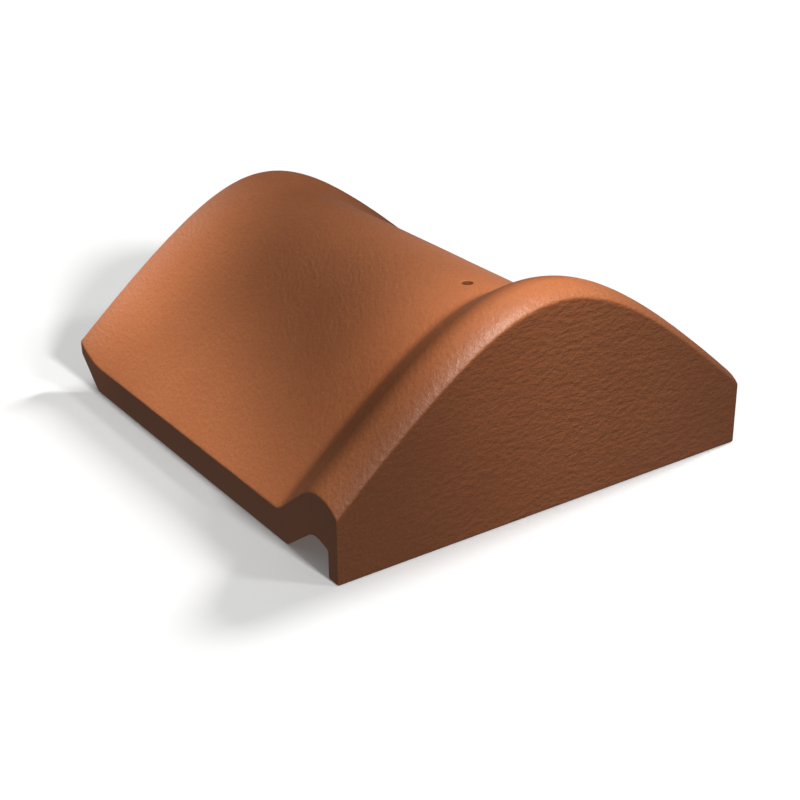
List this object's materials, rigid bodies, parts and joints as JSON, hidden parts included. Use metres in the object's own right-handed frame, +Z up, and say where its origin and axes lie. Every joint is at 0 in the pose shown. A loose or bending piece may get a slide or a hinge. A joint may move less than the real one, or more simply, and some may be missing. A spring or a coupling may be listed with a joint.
{
  "type": "closed-end ridge tile",
  "caption": "Arched terracotta ridge tile with a raised roll and a flat closed end plate, a flared lap lip and a screw hole in the crown.",
  "frame": {"origin": "under the middle of the tile, on the plane that the end plate and both long edges stand on", "axes": "+Y along the ridge from the closed end plate to the open lip, +X across the tile, +Z up"},
  "size_m": [0.27, 0.2994, 0.1243],
  "materials": {
    "fired_clay": "satin coated terracotta with a fine leathery grain"
  },
  "bodies": {
    "root": {"ridge_tile": "fired_clay"}
  },
  "joints": []
}
